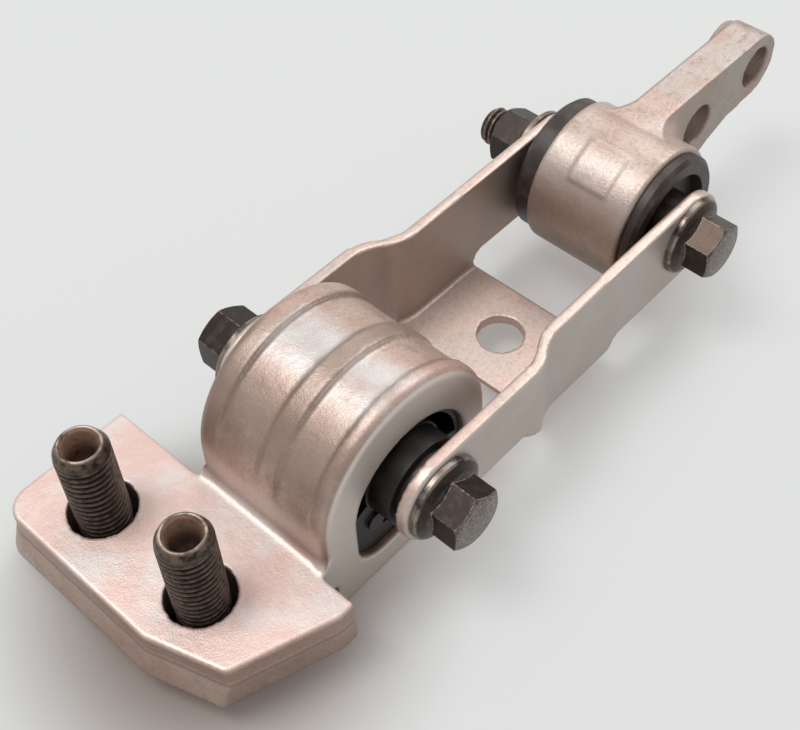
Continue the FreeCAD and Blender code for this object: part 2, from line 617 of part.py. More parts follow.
# ---------------------------------------------------------------- bolts and nuts
def pivot_bolt(name, x, half, tail):
    b = new_body(name, x, P["pivot_y"], P["pivot_z"])
    r, fr, ft = P["bolt_radius"], P["bolt_flange_radius"], P["bolt_flange_thick"]
    hh, fl = P["bolt_head_height"], P["bolt_flats"]
    end = half + P["nut_height"] + tail
    sk = outline(new_sketch(b, "XY_Plane", "bolt_half_section"), [
        (0, end), (0, -half - 4.0), (fl * 0.5, -half - 4.0), (fr - 0.4, -half - ft), (fr, -half - ft + 0.4),
        (fr, -half), (r, -half), (r, end - 1.2), (r - 1.2, end)])
    spin(b, "shank_and_flange", sk)
    sk = hexagon(new_sketch(b, "XZ_Plane", "hex_side", half + 1.0), fl)
    pad(b, "hex", sk, hh - 1.0)
    tip = -half - hh
    sk = outline(new_sketch(b, "XY_Plane", "hex_chamfer"), [
        (fl * 0.47, tip), (fl * 0.47, tip - 1.0), (fl * 0.75, tip - 1.0), (fl * 0.75, tip + fl * 0.14)])
    spin(b, "chamfer", sk, cut=True)
    return b


def pivot_nut(name, x, half):
    b = new_body(name, x, P["pivot_y"], P["pivot_z"])
    r, fr, ft = P["bolt_radius"] + P["nut_bore_play"], P["nut_flange_radius"], P["bolt_flange_thick"]
    nh, fl = P["nut_height"], P["nut_flats"]
    sk = outline(new_sketch(b, "XY_Plane", "nut_half_section"), [
        (r, half), (fr, half), (fr, half + ft - 0.4), (fr - 0.4, half + ft), (fl * 0.5, half + 4.0),
        (r, half + 4.0)])
    spin(b, "flange", sk)
    sk = hexagon(new_sketch(b, "XZ_Plane", "hex_side", -half - 1.0), fl)
    pad(b, "hex", sk, nh - 1.0, rev=True)
    tip = half + nh
    sk = outline(new_sketch(b, "XY_Plane", "hex_chamfer"), [
        (fl * 0.47, tip), (fl * 0.47, tip + 1.0), (fl * 0.75, tip + 1.0), (fl * 0.75, tip - fl * 0.14)])
    spin(b, "chamfer", sk, cut=True)
    sk = circle(new_sketch(b, "XZ_Plane", "thread_side"), 0, 0, r)
    pocket(b, "thread", sk, (half + nh) * 2 + 10.0, mid=True)
    return b


rear_x = P["pivot_x"] + P["link_length"]
sleeve_front = P["front_half"] - P["sheet"]
sleeve_rear = P["rear_half"] - P["sheet"]
bodies = [
    front_bracket(),
    stud("stud_left", 1),
    stud("stud_right", -1),
    front_bush(),
    tube("front_bush_sleeve", P["pivot_x"], P["front_sleeve_radius"], P["sleeve_bore"], sleeve_front),
    link(),
    pivot_bolt("front_pivot_bolt", P["pivot_x"], P["front_half"], P["front_tail"]),
    pivot_nut("front_pivot_nut", P["pivot_x"], P["front_half"]),
    rear_bracket(),
    rear_bush(),
    tube("rear_bush_sleeve", rear_x, P["rear_sleeve_radius"], P["sleeve_bore"], sleeve_rear),
    pivot_bolt("rear_pivot_bolt", rear_x, P["rear_half"], P["rear_tail"]),
    pivot_nut("rear_pivot_nut", rear_x, P["rear_half"]),
]
doc.recompute()

for obj in doc.Objects:
    if "Invalid" in obj.State or "Error" in obj.State:
        raise RuntimeError("%s is %s" % (obj.Name, obj.State))
for body in bodies:
    shape = body.Shape
    if shape.isNull() or not shape.isValid() or len(shape.Solids) != 1:
        raise RuntimeError("%s: valid %s, solids %d" % (body.Label, shape.isValid(), len(shape.Solids)))
    box = shape.BoundBox
    print("%-20s %8.2f cm3  x %.1f..%.1f  y %.1f..%.1f  z %.1f..%.1f" % (
        body.Label, shape.Volume / 1000.0, box.XMin, box.XMax, box.YMin, box.YMax, box.ZMin, box.ZMax))
    shape.exportStep("parts/%s.step" % body.Label)
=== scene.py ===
# %% [markdown]
# # Engine mount of the torque-rod kind
# This mount holds an engine against rocking. It has a cast bracket with two studs, a pressed
# steel link, and a cast arm with two cross holes, and it gives way only in its rubber bushes.
# The frame is finished: thirteen metal and rubber pieces in their real places. One way would be
# to model everything again for the render. Here the frame's pieces stay where they look right,
# and the threads and the softened castings and sheet are made from them or to their boxes, so
# the dressed part keeps the frame's sizes.
# Everything is in metres, as in the frame, and sizes are written in millimetres times MM. The
# origin is midway between the studs on the machined face, +Z is up, +X points to the arm.

# %% Load the fixed frame
import math
import bmesh
import bpy
import numpy as np
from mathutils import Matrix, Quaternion, Vector


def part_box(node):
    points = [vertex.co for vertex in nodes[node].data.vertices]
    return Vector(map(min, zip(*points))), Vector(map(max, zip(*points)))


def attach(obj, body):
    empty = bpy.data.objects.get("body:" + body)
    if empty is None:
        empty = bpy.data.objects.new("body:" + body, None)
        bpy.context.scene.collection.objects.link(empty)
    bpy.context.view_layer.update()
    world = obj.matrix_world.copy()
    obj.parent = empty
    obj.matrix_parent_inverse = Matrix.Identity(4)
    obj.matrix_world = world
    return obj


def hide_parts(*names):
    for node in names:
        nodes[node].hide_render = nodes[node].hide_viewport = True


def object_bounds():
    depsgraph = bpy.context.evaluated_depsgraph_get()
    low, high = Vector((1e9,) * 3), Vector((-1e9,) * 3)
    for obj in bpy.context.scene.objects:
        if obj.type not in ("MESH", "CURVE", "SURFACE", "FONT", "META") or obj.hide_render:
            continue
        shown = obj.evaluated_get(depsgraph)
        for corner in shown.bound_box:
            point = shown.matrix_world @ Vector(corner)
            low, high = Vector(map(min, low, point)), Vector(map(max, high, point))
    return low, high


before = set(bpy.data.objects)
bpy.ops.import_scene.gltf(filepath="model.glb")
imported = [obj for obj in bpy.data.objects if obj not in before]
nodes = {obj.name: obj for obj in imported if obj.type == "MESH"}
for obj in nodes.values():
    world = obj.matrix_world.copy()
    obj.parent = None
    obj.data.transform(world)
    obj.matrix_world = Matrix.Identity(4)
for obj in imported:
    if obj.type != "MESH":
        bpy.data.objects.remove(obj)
cad_low, cad_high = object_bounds()
MM = 0.001


def in_mm(place):
    """A place in metres as rounded millimetres, for printing."""
    return [round(v / MM, 1) for v in place]


def middle(node):
    """Centre of a node's box, in metres: half the sum of its low and its high corner."""
    low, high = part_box(node)
    return (Vector(low) + Vector(high)) / 2


front_axis = middle("front_bush_sleeve")
rear_axis = middle("rear_bush_sleeve")
print("pieces in the frame:", len(nodes), "size mm:", in_mm(cad_high - cad_low))
print("front pivot mm", in_mm(front_axis), "rear pivot mm", in_mm(rear_axis))

# %% [markdown]
# ## Camera
# The mount is seen from its front right corner and from well above, close enough for the near
# stud plate to look larger than the far arm. A camera can be dragged into place or tracked to
# an empty. Here it is worked out from the point it looks at, a heading, a height angle and a
# distance, because these four are easy to read and to change.

# %% Camera
look_at = front_axis + Vector((35.4, 2.1, 0.0)) * MM
distance = 344.0 * MM
heading = math.radians(47.24)
height_angle = math.radians(49.71)
roll = math.radians(-1.27)
lens_to_sensor = 1.626625
level = math.cos(height_angle)
look = Vector((math.sin(heading) * level, math.cos(heading) * level, -math.sin(height_angle)))
camera = bpy.data.objects.new("camera", bpy.data.cameras.new("camera"))
bpy.context.scene.collection.objects.link(camera)
bpy.context.scene.camera = camera
camera.location = look_at - look * distance
camera.rotation_mode = "QUATERNION"
camera.rotation_quaternion = look.to_track_quat("-Z", "Y") @ Quaternion((0, 0, 1), roll)
camera.data.lens = lens_to_sensor * camera.data.sensor_width
camera.data.shift_x = -0.040
camera.data.shift_y = -0.034
camera.data.clip_start = 0.01
camera.data.clip_end = 20.0
print("camera at mm", in_mm(camera.location), "lens", round(camera.data.lens, 2))

# %% [markdown]
# ## Shader sums
# A finish is a graph of nodes. It can be wired box by box, but a sum is easier to read. `Wire`
# holds one output socket, and adding or multiplying wires adds Math nodes. A mask is a wire
# between 0 and 1 that says where a colour goes, and most masks here are steps along X, Y or Z.

# %% Wires
class Wire:
    """An output socket that takes part in sums. Each operator adds one Math node."""

    def __init__(self, finish, socket):
        self.finish = finish
        self.socket = socket

    def _math(self, operation, *values):
        return self.finish.node("ShaderNodeMath", {"operation": operation}, dict(enumerate(values)))

    def __add__(self, other):
        return self._math("ADD", self, other)

    __radd__ = __add__

    def __sub__(self, other):
        return self._math("SUBTRACT", self, other)

    def __rsub__(self, other):
        return self._math("SUBTRACT", other, self)

    def __mul__(self, other):
        return self._math("MULTIPLY", self, other)

    __rmul__ = __mul__

    def __truediv__(self, other):
        return self._math("DIVIDE", self, other)

    def __pow__(self, other):
        return self._math("POWER", self, other)

    def __abs__(self):
        return self._math("ABSOLUTE", self)

    def clip(self):
        """Held between 0 and 1."""
        return self.finish.node("ShaderNodeClamp", {}, {0: self})

    def rise(self, low, high):
        """0 below low, 1 above high, and a smooth step between them."""
        values = {"Value": self, "From Min": low, "From Max": high}
        return self.finish.node("ShaderNodeMapRange", {"interpolation_type": "SMOOTHSTEP"}, values)

    def fall(self, low, high):
        """1 below low, 0 above high: one less the rise."""
        return 1.0 - self.rise(low, high)

    def window(self, low, full, fading, high):
        """0 below low and above high, 1 from full to fading."""
        return self.rise(low, full) * self.fall(fading, high)

    def line(self, middle_at, flat, wide):
        """1 within flat of the middle, 0 farther than wide from it."""
        return abs(self - middle_at).fall(flat, wide)


print("sums work on", [name for name in vars(Wire) if not name.startswith("_")])

# %% [markdown]
# ## A finish
# A real surface is made in coats: bare metal, then patches, stains, wear and dust. `Finish`
# works that way. `lay` puts a colour over what is there, as far as a mask says, so a finish
# reads from the bottom coat to the top one. One big colour ramp would be shorter, but it
# couldn't put wear on an edge and painted shade in a corner at the same time.

# %% Finishes
class Finish:
    """A material, its nodes, and the measures of a place that its coats are laid by."""

    def __init__(self, name, metal=0.0, rough=0.5):
        self.material = bpy.data.materials.new(name)
        self.material.use_nodes = True
        self.tree = self.material.node_tree
        self.tree.nodes.clear()
        surface = self.node("ShaderNodeBsdfPrincipled", {}, {"Metallic": metal, "Roughness": rough})
        self.shader = surface.socket.node
        self.node("ShaderNodeOutputMaterial", {}, {"Surface": surface}, out=None)
        self.place = self.node("ShaderNodeTexCoord", {}, {}, out="Object")
        self.rough = rough

    def node(self, kind, settings, values, out=0):
        """Adds a node: first its settings, then a value or a wire for each named input."""
        made = self.tree.nodes.new(kind)
        for key, value in settings.items():
            setattr(made, key, value)
        for key, value in values.items():
            self.put(made.inputs[key], value)
        return None if out is None else Wire(self, made.outputs[out])

    def put(self, socket, value):
        """Links a wire to an input, or sets the input to a number, a vector or a colour."""
        if isinstance(value, Wire):
            self.tree.links.new(value.socket, socket)
        elif socket.type == "RGBA":
            socket.default_value = (*value, 1.0)
        else:
            socket.default_value = value

    def set(self, name, value):
        """Sets or links an input of the shader itself."""
        self.put(self.shader.inputs[name], value)

    def axis(self, name):
        """One coordinate of the place, in millimetres."""
        return self.node("ShaderNodeSeparateXYZ", {}, {0: self.place}, out=name) * (1 / MM)

    def axes(self):
        """The three coordinates of the place, in millimetres."""
        return [self.axis(name) for name in "XYZ"]

    def facing(self, name):
        """One part of the true face direction, -1 to 1."""
        true = self.node("ShaderNodeNewGeometry", {}, {}, out="Normal")
        return self.node("ShaderNodeSeparateXYZ", {}, {0: true}, out=name)

    def noise(self, size_mm, detail=3.0, rough=0.55, stretch=None):
        """Noise whose blobs are about size_mm across, 0 to 1."""
        place = self.place
        if stretch:
            place = self.node("ShaderNodeMapping", {}, {"Vector": place, "Scale": stretch})
        values = {"Vector": place, "Scale": 1 / MM / size_mm, "Detail": detail, "Roughness": rough}
        return self.node("ShaderNodeTexNoise", {}, values)

    def edges(self, width_mm):
        """1 on sharp edges, 0 on flats: gain * (1 - cosine of the angle between a normal
        rounded over width_mm and the true one), held to 1."""
        gain = 6.0
        soft = self.node("ShaderNodeBevel", {"samples": 4}, {"Radius": width_mm * MM})
        true = self.node("ShaderNodeNewGeometry", {}, {}, out="Normal")
        dot = {"operation": "DOT_PRODUCT"}
        cosine = self.node("ShaderNodeVectorMath", dot, {0: soft, 1: true}, out="Value")
        return ((1.0 - cosine) * gain).clip()

    def hollow(self, reach_mm):
        """1 deep in corners and gaps, 0 on open faces: how much a near wall shuts off the sky."""
        values = {"Distance": reach_mm * MM}
        open_sky = self.node("ShaderNodeAmbientOcclusion", {"samples": 8}, values, out="AO")
        return (1.0 - open_sky).clip()

    def relief(self, height_mm, soft_mm):
        """Bump from a height in millimetres, over edges that look rounded by soft_mm."""
        rounded = self.node("ShaderNodeBevel", {"samples": 6}, {"Radius": soft_mm * MM})
        values = {"Height": height_mm, "Strength": 1.0, "Distance": MM, "Normal": rounded}
        self.set("Normal", self.node("ShaderNodeBump", {}, values))

    def mix(self, amount, a, b):
        """Colour a where amount is 0 and b where it is 1. A Mix node has a set of sockets for
        each kind of data: in 6, in 7 and out 2 are the colours."""
        settings = {"data_type": "RGBA", "clamp_factor": True}
        return self.node("ShaderNodeMix", settings, {0: amount, 6: a, 7: b}, out=2)

    def lay(self, mask, amount, colour):
        """Lays one more coat: a colour over the ones before it, by mask * amount."""
        self.colour = self.mix(mask * amount, self.colour, colour)


def give(piece, finish):
    """Puts a finish on a piece in place of what it wore."""
    piece.data.materials.clear()
    piece.data.materials.append(finish.material)
    print(piece.name, "wears", finish.material.name, "of", len(finish.tree.nodes), "nodes")


# %% [markdown]
# ## Threads
# A thread is one continuous helical groove, rolled into the shank between two dies. A boolean
# cut of a swept triangle would leave ragged run-outs, and stacked rings would not climb. Here a
# lathe profile gives the shank, and the groove is taken from its radius as a wave that moves
# one pitch along the axis for every turn. One grid holds it all, closed by a point at each end.

# %% Grid of rings
def add_mesh(name, points, faces):
    """A new smooth object at the origin, from numpy points in metres and a list of faces."""
    mesh = bpy.data.meshes.new(name)
    mesh.from_pydata(points.tolist(), [], faces)
    mesh.polygons.foreach_set("use_smooth", [True] * len(mesh.polygons))
    mesh.update()
    piece = bpy.data.objects.new(name, mesh)
    bpy.context.scene.collection.objects.link(piece)
    return piece


def ring_faces(rows, columns):
    """Faces of a grid of rings, closed round and capped by one point at each end. Point 0 is
    the first end, point 1 + row * columns + column is on a ring, and the last end comes last."""
    here = np.arange(columns)
    after = np.roll(here, -1)
    row = 1 + columns * np.arange(rows - 1)[:, None]
    sides = [row + here, row + after, row + columns + after, row + columns + here]
    last_row = 1 + columns * (rows - 1)
    last = np.full(columns, last_row + columns)
    first_cap = np.stack([np.zeros_like(here), 1 + after, 1 + here], axis=-1)
    last_cap = np.stack([last, last_row + here, last_row + after], axis=-1)
    return first_cap.tolist() + np.stack(sides, axis=-1).reshape(-1, 4).tolist() + last_cap.tolist()


print("two rings of 6 points have", len(ring_faces(2, 6)), "faces")


# %% Thread
def groove(phase):
    """Thread groove depth over one turn of phase, 0 at the crest and 1 at the root:
        away = distance of the phase from the middle of its turn, 0 to 1
        depth = 1 - smooth step of away from 0.2 to 0.8
    so the root and the crest are flat and the flanks ease into both."""
    root, crest = 0.20, 0.80
    away = np.abs((phase % 1.0) - 0.5) * 2.0
    ramp = np.clip((away - root) / (crest - root), 0.0, 1.0)
    return 1.0 - ramp * ramp * (3 - 2 * ramp)


def threaded(name, profile, pitch, depth, start, stop, centre, columns=72, upright=True):
    """Solid of revolution with a thread. profile is a list of (radius, height) in mm from the
    bottom point of the axis to the top one. Between the heights start and stop,
        radius(h, a) = profile(h) - depth * fade(h) * groove(h / pitch - a / (2 pi))
    and fade runs from 0 to 1 over one pitch at each end. Past its highest ring the profile
    turns inwards, as a stud's recess does, and has no thread. upright: the axis is +Z through
    centre (x, y); otherwise it is +Y through centre (x, z)."""
    rings_per_pitch = 14
    # a stretch counts as shank if it is longer than a pitch and tapers by less than this
    most_taper = 1.0
    radius = []
    height = []
    for (r0, h0), (r1, h1) in zip(profile[:-1], profile[1:]):
        shank = r0 > 0 and abs(h1 - h0) > pitch and abs(r1 - r0) < most_taper
        steps = math.ceil(abs(h1 - h0) / (pitch / rings_per_pitch)) if shank else 1
        radius.extend(r0 + (r1 - r0) * np.arange(steps) / steps)
        height.extend(h0 + (h1 - h0) * np.arange(steps) / steps)
    radius = np.array(radius[1:])
    height = np.array(height[1:])
    h, a = np.meshgrid(height, np.arange(columns) * 2 * math.pi / columns, indexing="ij")
    fade = np.clip((h - start) / pitch, 0, 1) * np.clip((stop - h) / pitch, 0, 1)
    outer = (np.arange(len(radius)) <= np.argmax(height))[:, None]
    r = radius[:, None] - depth * fade * outer * groove(h / pitch - a / (2 * math.pi))
    bottom, top = profile[0][1], profile[-1][1]
    if upright:
        rings = np.stack([centre[0] + r * np.cos(a), centre[1] + r * np.sin(a), h], axis=-1)
        ends = [(centre[0], centre[1], bottom), (centre[0], centre[1], top)]
    else:
        rings = np.stack([centre[0] + r * np.sin(a), h, centre[1] + r * np.cos(a)], axis=-1)
        ends = [(centre[0], bottom, centre[1]), (centre[0], top, centre[1])]
    points = np.concatenate([[ends[0]], rings.reshape(-1, 3), [ends[1]]]) * MM
    piece = add_mesh(name, points, ring_faces(len(radius), columns))
    print(name, "rings", len(radius), "faces", len(piece.data.polygons))
    return piece


# %% [markdown]
# ## Softened castings and sheet
# A casting has no sharp corner: where two faces meet the metal rounds over by half a
# millimetre or more, and a step such as a rib runs into the skin. The bent sheet has rolled
# edges too. A bevel on every edge fails where many small faces meet. So each CAD solid is
# copied, closed, remeshed to even small faces and relaxed a little, all but the machined face.

# %% Closed copy and relaxing
def points_of(mesh):
    """The points of a mesh as rows of x, y and z, in metres."""
    points = np.empty(len(mesh.vertices) * 3, dtype=np.float32)
    mesh.vertices.foreach_get("co", points)
    return points.reshape(-1, 3).astype(np.float64)


def move_points(mesh, points):
    """Puts the points of a mesh where the rows say."""
    mesh.vertices.foreach_set("co", points.astype(np.float32).ravel())
    mesh.update()


def merged_copy(node):
    """The node's mesh with its doubled corner points joined, as a new mesh."""
    same_place = 1e-5
    copy = nodes[node].data.copy()
    work = bmesh.new()
    work.from_mesh(copy)
    bmesh.ops.remove_doubles(work, verts=work.verts, dist=same_place)
    work.to_mesh(copy)
    work.free()
    if "custom_normal" in copy.attributes:
        copy.attributes.remove(copy.attributes["custom_normal"])
    return copy


def relaxed(points, pairs, rounds, free):
    """Points of a net after some rounds. In each round, with mean the mean of its neighbours,
        point = point + 0.50 * free * (mean - point), then
        point = point - 0.52 * free * (mean - point)
    which rounds edges and keeps the volume. free is 0 where a point stays, 1 where it moves."""
    pull, push_back = 0.50, 0.52
    a, b = pairs.T
    n = len(points)
    count = (np.bincount(a, minlength=n) + np.bincount(b, minlength=n))[:, None]
    for _ in range(rounds):
        for step in (pull, -push_back):
            sums = [np.bincount(a, points[b, k], n) + np.bincount(b, points[a, k], n) for k in range(3)]
            points = points + step * free * (np.stack(sums, 1) / count - points)
    return points


bracket_copy = merged_copy("front_bracket")
print("front bracket points", len(nodes["front_bracket"].data.vertices), "->", len(bracket_copy.vertices))
bpy.data.meshes.remove(bracket_copy)

# %% [markdown]
# ## The foot of the housing
# On the real bracket the fillet between plate and housing runs right out to both end faces,
# but in the frame it stops a little short of them. Stretching the copy would bend its faces.
# A small prism with the fillet's outline is put over each end instead, down to 11 mm under the
# machined face, and the remesh joins it on as weld metal would.

# %% Weld and soften
def weld(mesh, side, start, stop):
    """Adds a closed prism that the remesh joins on: side is its outline of (x, z) in mm,
    drawn out along Y from start to stop."""
    work = bmesh.new()
    work.from_mesh(mesh)
    near = [work.verts.new(Vector((x, start, z)) * MM) for x, z in side]
    far = [work.verts.new(Vector((x, stop, z)) * MM) for x, z in side]
    faces = [work.faces.new(near), work.faces.new(far)]
    faces += [work.faces.new((near[k - 1], near[k], far[k], far[k - 1])) for k in range(len(side))]
    bmesh.ops.recalc_face_normals(work, faces=faces)
    work.to_mesh(mesh)
    work.free()


def softened(name, node, voxel_mm, rounds, held=None, welds=()):
    """Remeshed, relaxed copy of a node, kept inside the node's box.
    held(x, y, z in mm) gives 0 where points move and up to 1 where they stay."""
    rough = bpy.data.objects.new("rough", merged_copy(node))
    for prism in welds:
        weld(rough.data, *prism)
    bpy.context.scene.collection.objects.link(rough)
    remesh = rough.modifiers.new("remesh", "REMESH")
    remesh.mode = "VOXEL"
    remesh.voxel_size = voxel_mm * MM
    view = bpy.context.evaluated_depsgraph_get()
    mesh = bpy.data.meshes.new_from_object(rough.evaluated_get(view))
    bpy.data.objects.remove(rough)
    points = points_of(mesh)
    pairs = np.empty(len(mesh.edges) * 2, dtype=np.int32)
    mesh.edges.foreach_get("vertices", pairs)
    free = np.ones((len(points), 1)) if held is None else 1.0 - held(*(points / MM).T)[:, None]
    points = relaxed(points, pairs.reshape(-1, 2), rounds, free)
    mesh.polygons.foreach_set("use_smooth", [True] * len(mesh.polygons))
    move_points(mesh, np.clip(points, *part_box(node)))
    mesh.materials.clear()
    piece = bpy.data.objects.new(name, mesh)
    bpy.context.scene.collection.objects.link(piece)
    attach(piece, "root")
    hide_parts(node)
    print(name, "faces", len(mesh.polygons))
    return piece


# %% Front casting
def machined_face(x, y, z):
    """How firmly points are held: firm on the machined face, clear of the stud holes, or 0."""
    firm = 0.8
    face_end = 20.0
    face_low = -0.1
    half_spacing = 18.2
    hole_clear = 9.6
    from_stud = np.hypot(x, np.abs(y) - half_spacing)
    return np.where((x < face_end) & (z > face_low) & (from_stud > hole_clear), firm, 0.0)


plate_back = 22.3
wall_half = 22.0
foot_depth = 11.0
weld_width = 3.0
# the fillet as (mm past the plate's back edge, height), from the housing down to the plate
fillet = [(6.0, 3.5), (1.6, 2.0), (1.0, 0.7), (0.3, 0.1), (-1.0, 0.0)]
foot_side = [(plate_back - 1.0, -foot_depth), (plate_back + 6.0, -foot_depth)]
foot_side += [(plate_back + past, height) for past, height in fillet]
pivot_y = front_axis.y / MM
foot_ends = [(foot_side, pivot_y + side * (wall_half - weld_width), pivot_y + side * wall_half)
             for side in (-1, 1)]
front_skin = softened("front_casting", "front_bracket", voxel_mm=0.62, rounds=6,
                      held=machined_face, welds=foot_ends)

# %% Rear casting and link
rear_skin = softened("rear_casting", "rear_bracket", voxel_mm=0.60, rounds=7)
link_skin = softened("link_sheet", "link_channel", voxel_mm=0.60, rounds=4)

# %% [markdown]
# ## Threaded studs
# Two M14 studs stand through the machined face, to bolt the mount to the engine or the body.
# Each has a round head below the plate, a shank with a rolled 2 mm pitch, a smooth tapered
# lead that finds the hole, and a blind recess in its tip. A plain cylinder with a striped bump
# would have a smooth outline, so the thread is real geometry from the helpers above.

# %% Studs
stud_seat = -13.0
stud_top = 27.0
stud_pitch = 2.0
stud_groove = 0.95
thread_start = stud_seat + 1.0
thread_stop = stud_top - 2.4
# the head as (radius, mm above the seat), then the lead and the recess as (radius, mm below the top)
head = [(0, -5.0), (11.0, -5.0), (11.7, -4.7), (12.0, -4.0), (12.0, -0.3), (11.7, 0.0), (7.4, 0.0),
        (7.0, 0.4)]
lead = [(7.0, 2.8), (6.75, 2.3), (6.1, 1.0), (5.75, 0.35), (5.45, 0.05), (5.25, 0.0), (4.95, 0.1)]
recess = [(4.65, 0.5), (4.5, 1.4), (4.1, 7.0), (3.9, 8.6), (3.0, 9.8), (1.5, 10.7), (0, 11.1)]
stud_profile = [(radius, stud_seat + above) for radius, above in head]
stud_profile += [(radius, stud_top - below) for radius, below in lead + recess]
studs = []
for name in ("stud_left", "stud_right"):
    centre = middle(name)
    piece = threaded("thread_" + name, stud_profile, stud_pitch, stud_groove, thread_start,
                     thread_stop, (centre.x / MM, centre.y / MM))
    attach(piece, "root")
    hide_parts(name)
    studs.append(piece)

# %% [markdown]
# ## Bolt ends
# The pivot bolts are M12 with a 1.75 mm pitch, and the rear one stands well out of its nut. The
# head and its flange are good CAD faces, so they are kept. A second shank laid over the first
# would flicker where the two share a surface. So behind the nut the CAD shank is drawn in a
# little, and a threaded end takes its place.

# %% Bolts
bolt_pitch = 1.75
bolt_groove = 0.9
bolt_radius = 5.95
inside_nut = 2.0
hidden_length = 3.0
hidden_radius = 4.6
hidden_back = 1.0
split_angle = math.radians(28)


def drawn_in(mesh, axis, tip):
    """Draws in the end of a shank that points along +Y. Points in its last stretch move back
    and to at most hidden_radius from the axis:
        place = axis + (place - axis) * min(1, hidden_radius / distance from the axis)"""
    points = points_of(mesh)
    end = points[:, 1] / MM > tip - hidden_length
    away = np.hypot(points[end, 0] - axis.x, points[end, 2] - axis.z)
    pull = np.minimum(1.0, hidden_radius * MM / np.maximum(away, 1e-6))
    points[end, 0] = axis.x + (points[end, 0] - axis.x) * pull
    points[end, 1] -= hidden_back * MM
    points[end, 2] = axis.z + (points[end, 2] - axis.z) * pull
    move_points(mesh, points)
    return int(end.sum())


bolts = []
for end, axis in (("front", front_axis), ("rear", rear_axis)):
    bolt = end + "_pivot_bolt"
    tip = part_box(bolt)[1][1] / MM
    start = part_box(end + "_pivot_nut")[1][1] / MM - inside_nut
    copy = merged_copy(bolt)
    print(bolt, "points drawn in:", drawn_in(copy, axis, tip))
    copy.set_sharp_from_angle(angle=split_angle)
    head = bpy.data.objects.new("head_" + end, copy)
    bpy.context.scene.collection.objects.link(head)
    profile = [(0, start - 1.0), (5.0, start - 1.0), (bolt_radius, start), (bolt_radius, tip - 1.3),
               (5.5, tip - 0.7), (4.95, tip - 0.15), (4.7, tip), (0, tip - 0.02)]
    thread = threaded("thread_" + end, profile, bolt_pitch, bolt_groove, start - 1.0, tip - 0.4,
                      (axis.x / MM, axis.z / MM), columns=64, upright=False)
    for piece in (head, thread):
        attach(piece, "root")
        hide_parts(end + "_pivot_bolt")
        bolts.append(piece)

# %% [markdown]
# ## Cast skin
# Blasted castings are bright metal under a thin stained skin, with dark specks in the grain, and
# their hollows and undersides get painted shade in brown. A plain metal would mirror the room too
# strongly, and a plain paint would look dead. The skin here is half metal and half a dense layer
# of index 2.5, so its highlights stay neutral over a warm base. Both castings and the link start from it.

# %% Cast skin
def cast_skin(name, base, pale, grime, rough=0.40, metal=0.5):
    """First coats of cast metal: a warm base, pale clouds, and stains and specks of grime."""
    f = Finish(name, metal=metal, rough=rough)
    f.set("IOR", 2.5)
    f.grime = grime
    f.clouds = f.noise(16.0, detail=5.0, rough=0.6)
    f.speck = f.noise(0.9, detail=2.0, rough=0.7)
    f.colour = base
    f.lay(f.clouds.rise(0.38, 0.62), 0.75, pale)
    stain = f.noise(7.0, detail=5.0, rough=0.7).rise(0.50, 0.74) * 0.35
    f.lay(stain + f.speck.rise(0.42, 0.72) * 0.34, 1.0, grime)
    return f


def weathered_and_shaded(f, soft_mm=0.7, grain_mm=0.075):
    """Last coats: painted shade on undersides and in hollows, then roughness and a fine grain."""
    # painted shade: undersides and hollows are darkened with the grime colour
    f.lay(f.facing("Z").fall(-0.55, 0.45), 0.5, f.grime)
    f.lay(f.hollow(5.0).rise(0.25, 0.9), 0.75, f.grime)
    f.set("Base Color", f.colour)
    f.set("Roughness", (f.rough - 0.11 + 0.18 * f.clouds + 0.12 * f.speck).clip())
    fine = f.noise(0.5, detail=3.0, rough=0.6) * grain_mm
    dents = f.noise(3.5, detail=2.0) * grain_mm * 1.6
    f.relief(fine + dents, soft_mm)


# %% [markdown]
# ## Front bracket: brown coats
# Brown is painted as shade at the left end of the housing, in the creases beside the ribs, and in
# the foot between housing and plate. The middle rib is browner over its top. A painted texture
# could show this too, but it would need a flat layout of the casting. These masks are steps along
# the three axes, measured from the pivot, so they need none.

# %% Front bracket: brown coats
cast_front = cast_skin("cast_front", base=(0.49, 0.305, 0.232), pale=(0.57, 0.43, 0.365),
                       grime=(0.17, 0.10, 0.068))
pivot = front_axis / MM
x, y, z = cast_front.axes()
up = z - pivot.z
behind_plate = x.rise(21.0, 24.0)

# painted shade: the left end of the housing, ahead of the pivot, darkened brown
end_shade_brown = (0.20, 0.13, 0.092)
left_end_shade = y.rise(-2.5, 7.5) * (pivot.x - x).rise(0.0, 9.0) * x.rise(23.0, 25.0)
cast_front.lay(left_end_shade, 0.9, end_shade_brown)

# painted shade: a dark line in the crease beside each rib, at its place along Y from the pivot's middle
crease_shade_brown = (0.20, 0.125, 0.085)
rib_flanks = (15.0, 0.7, -17.1)
for flank_y in rib_flanks:
    flank_shade = y.line(pivot.y + flank_y, 0.2, 1.9) * up.rise(2.0, 16.0)
    cast_front.lay(flank_shade, 0.62, crease_shade_brown)

rib_brown = (0.25, 0.165, 0.12)
middle_rib = y.line(pivot.y - 2.4, 2.0, 4.2) * up.rise(12.0, 22.0)
cast_front.lay(middle_rib, 0.75, rib_brown)

# painted shade: the foot, browner towards both ends than in the middle
foot_shade_brown = (0.21, 0.135, 0.095)
foot_shade = up.fall(-10.0, 17.0) * (pivot.x - 6.0 - x).rise(0.0, 16.0) * behind_plate
foot_shade = foot_shade * (1.0 - 0.85 * y.line(-9.0, 6.0, 16.0))
foot_shade = foot_shade * cast_front.noise(14.0, detail=4.0).rise(0.0, 0.5)
cast_front.lay(foot_shade, 0.9, foot_shade_brown)
print("rib flanks at y mm", [round(pivot.y + flank_y, 1) for flank_y in rib_flanks])
